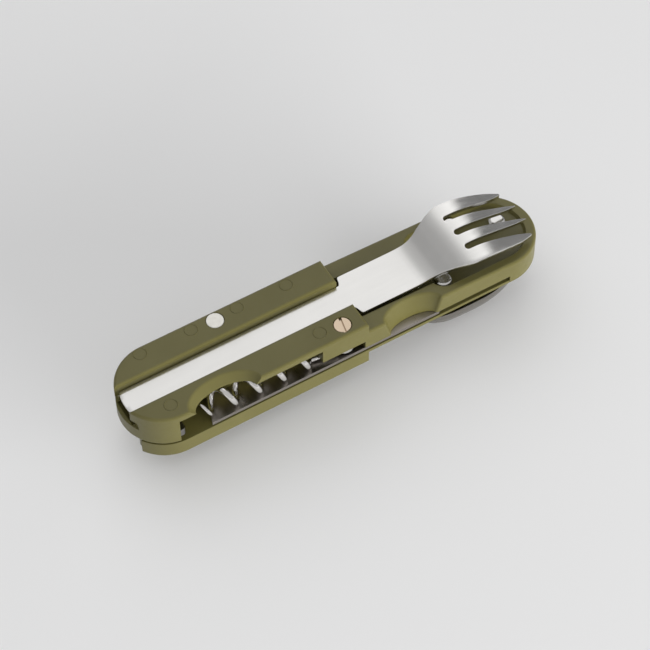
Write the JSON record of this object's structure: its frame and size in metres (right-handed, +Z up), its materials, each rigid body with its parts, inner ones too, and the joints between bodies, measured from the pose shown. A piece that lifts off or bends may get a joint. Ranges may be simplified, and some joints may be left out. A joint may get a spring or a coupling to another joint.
{
  "type": "folding picnic cutlery set",
  "caption": "Folding picnic cutlery: fork and spoon halves that slide apart, with a folding corkscrew, knife and opener in an olive plastic handle.",
  "frame": {"origin": "under the middle of the folded body, level with the lowest point of the spoon's bowl", "axes": "+X along the body towards the fork's tines, +Y towards the opener side, +Z up through the fork"},
  "size_m": [0.1142, 0.0228, 0.0232],
  "materials": {
    "olive_plastic": "satin moulded olive green",
    "polished_steel": "polished stainless steel",
    "corkscrew_steel": "bright wire",
    "blade_steel": "fine ground",
    "pin_steel": "turned",
    "spring_steel": "plain sheet",
    "screw_steel": "polished slotted head",
    "rivet_steel": "polished head",
    "aluminium": "satin"
  },
  "bodies": {
    "fork_half": {"upper_handle": "olive_plastic", "fork_hinge_pin": "pin_steel", "fork_spring": "spring_steel", "fork_spring_rivet": "pin_steel", "corkscrew_screw": "screw_steel", "corkscrew_washer": "pin_steel", "corkscrew_nut": "pin_steel", "knife_pivot_rivet": "rivet_steel", "knife_back_spring": "spring_steel", "spring_rivets": "rivet_steel", "blade_rest": "pin_steel", "opener_rivet": "aluminium"},
    "fork": {"fork": "polished_steel"},
    "corkscrew": {"corkscrew": "corkscrew_steel"},
    "knife": {"knife_blade": "blade_steel"},
    "opener": {"opener": "blade_steel"},
    "spoon_half": {"lower_handle": "olive_plastic", "spoon_hinge_pin": "pin_steel", "spoon_spring": "spring_steel", "spoon_spring_rivet": "pin_steel"},
    "spoon": {"spoon": "polished_steel"}
  },
  "joints": [
    {"name": "fork_fold", "type": "hinge", "parent": "fork_half", "child": "fork", "pos_m": [-0.0533, 0, 0.0172], "axis": [0, -1, 0], "range_deg": [0, 180]},
    {"name": "corkscrew_swing", "type": "hinge", "parent": "fork_half", "child": "corkscrew", "pos_m": [-0.0014, -0.00804, 0.0138], "axis": [0, 0, 1], "range_deg": [0, 90]},
    {"name": "knife_swing", "type": "hinge", "parent": "fork_half", "child": "knife", "pos_m": [0.0282, -0.0062, 0.0117], "axis": [0, 0, 1], "range_deg": [0, 140]},
    {"name": "opener_swing", "type": "hinge", "parent": "fork_half", "child": "opener", "pos_m": [-0.0267, 0.0087, 0.0159], "axis": [0, 0, 1], "range_deg": [0, 150]},
    {"name": "halves_slide", "type": "slide", "parent": "fork_half", "child": "spoon_half", "axis": [-1, 0, 0], "range_m": [0, 0.08]},
    {"name": "spoon_fold", "type": "hinge", "parent": "spoon_half", "child": "spoon", "pos_m": [-0.0513, 0, 0.0094], "axis": [0, 1, 0], "range_deg": [0, 180]}
  ]
}
